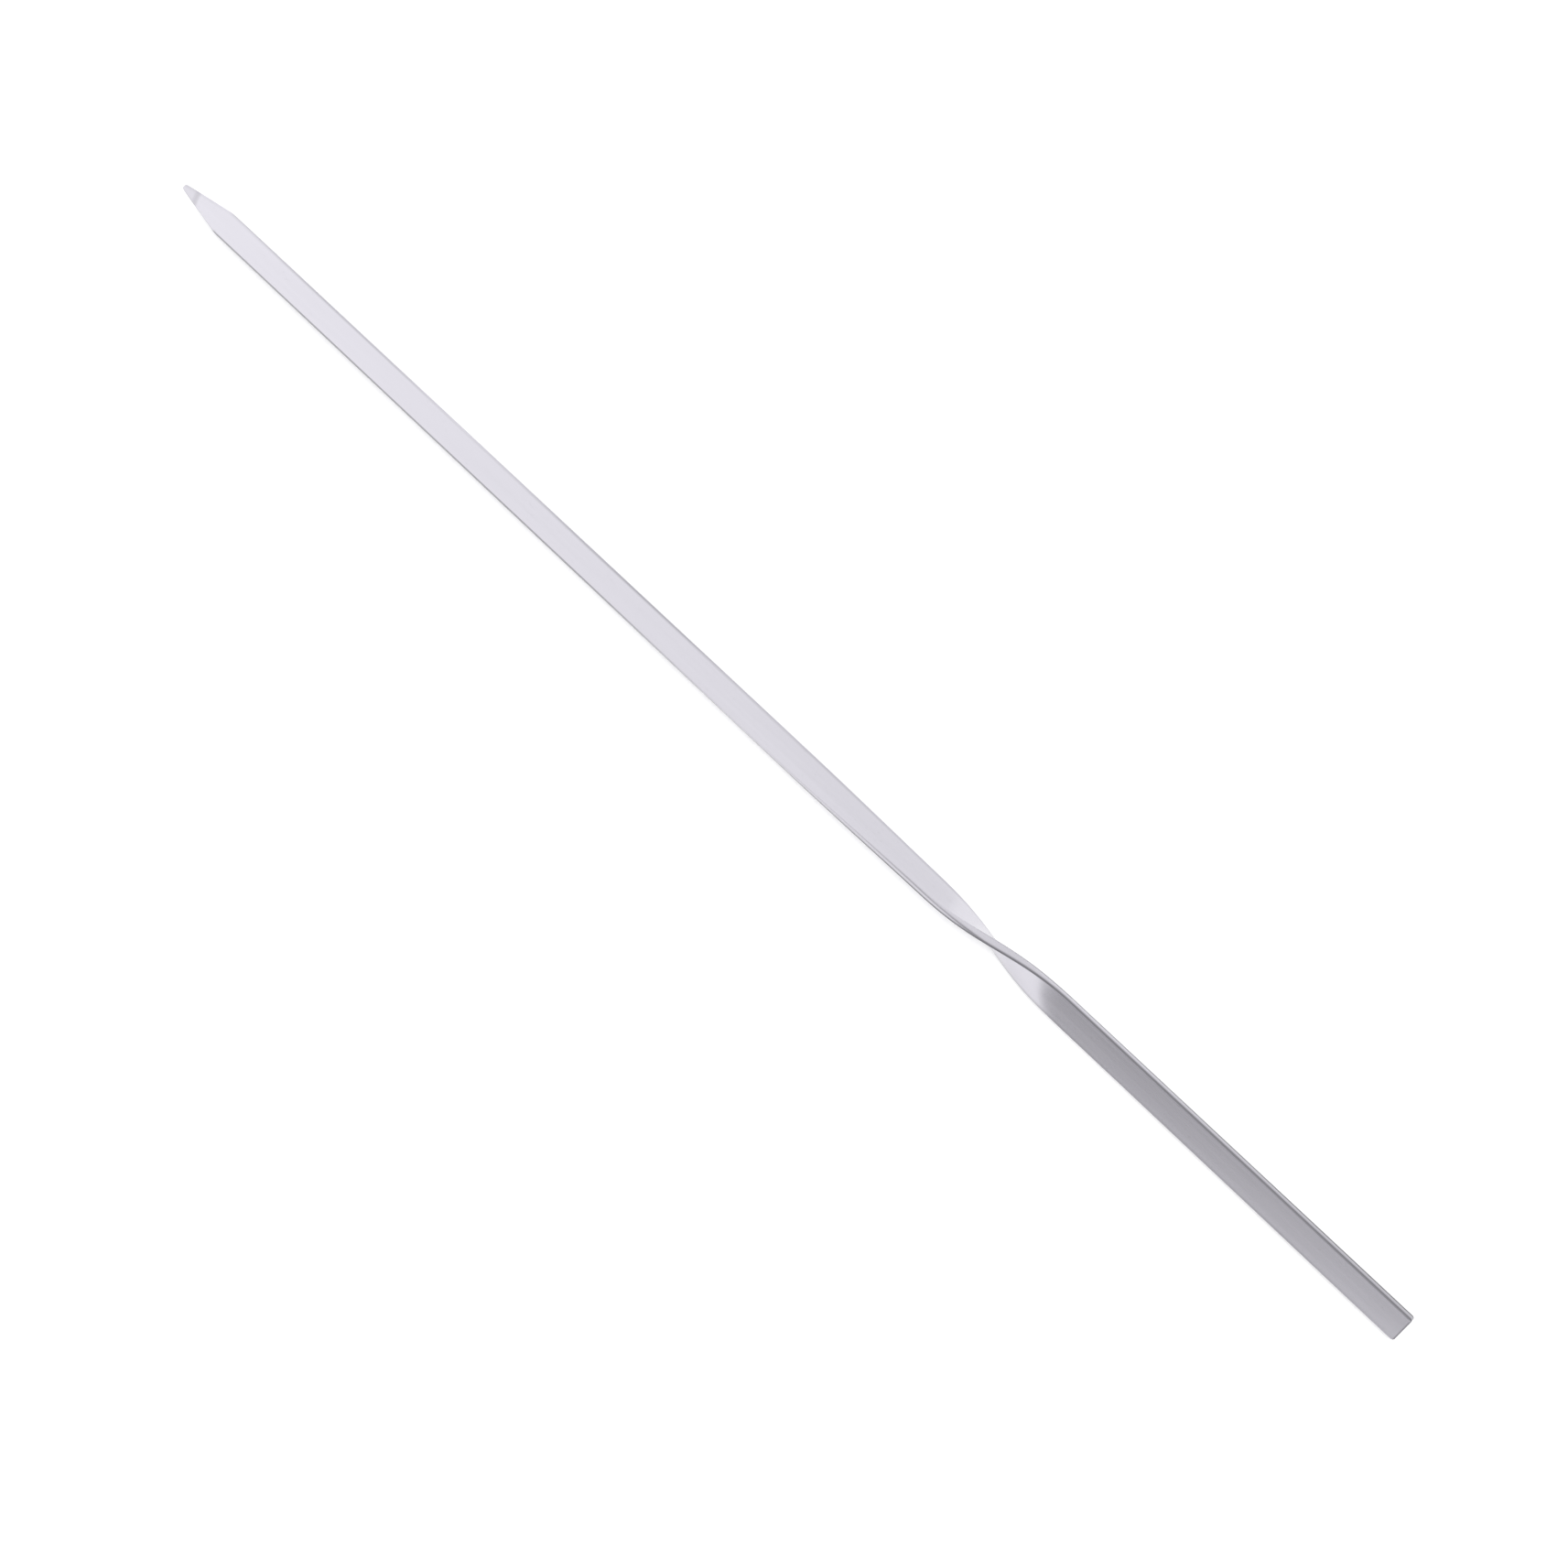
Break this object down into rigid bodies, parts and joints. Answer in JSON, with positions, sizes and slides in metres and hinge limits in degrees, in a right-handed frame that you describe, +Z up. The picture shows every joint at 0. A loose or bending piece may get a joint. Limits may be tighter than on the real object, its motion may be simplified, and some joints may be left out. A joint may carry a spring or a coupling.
{
  "type": "kebab skewer",
  "caption": "Flat steel kebab skewer: a long thin blade with a tapered point, a twisted neck and a plain flat handle end.",
  "frame": {"origin": "middle of the strip's length, on its centre line", "axes": "+X along the strip towards the point; +Z up, normal to the blade's wide faces; Y across the blade"},
  "size_m": [0.3, 0.0052, 0.0052],
  "materials": {
    "steel": "bright satin stainless steel, brushed along the strip"
  },
  "bodies": {
    "root": {"blade": "steel", "twisted_neck": "steel", "handle": "steel"}
  },
  "joints": []
}
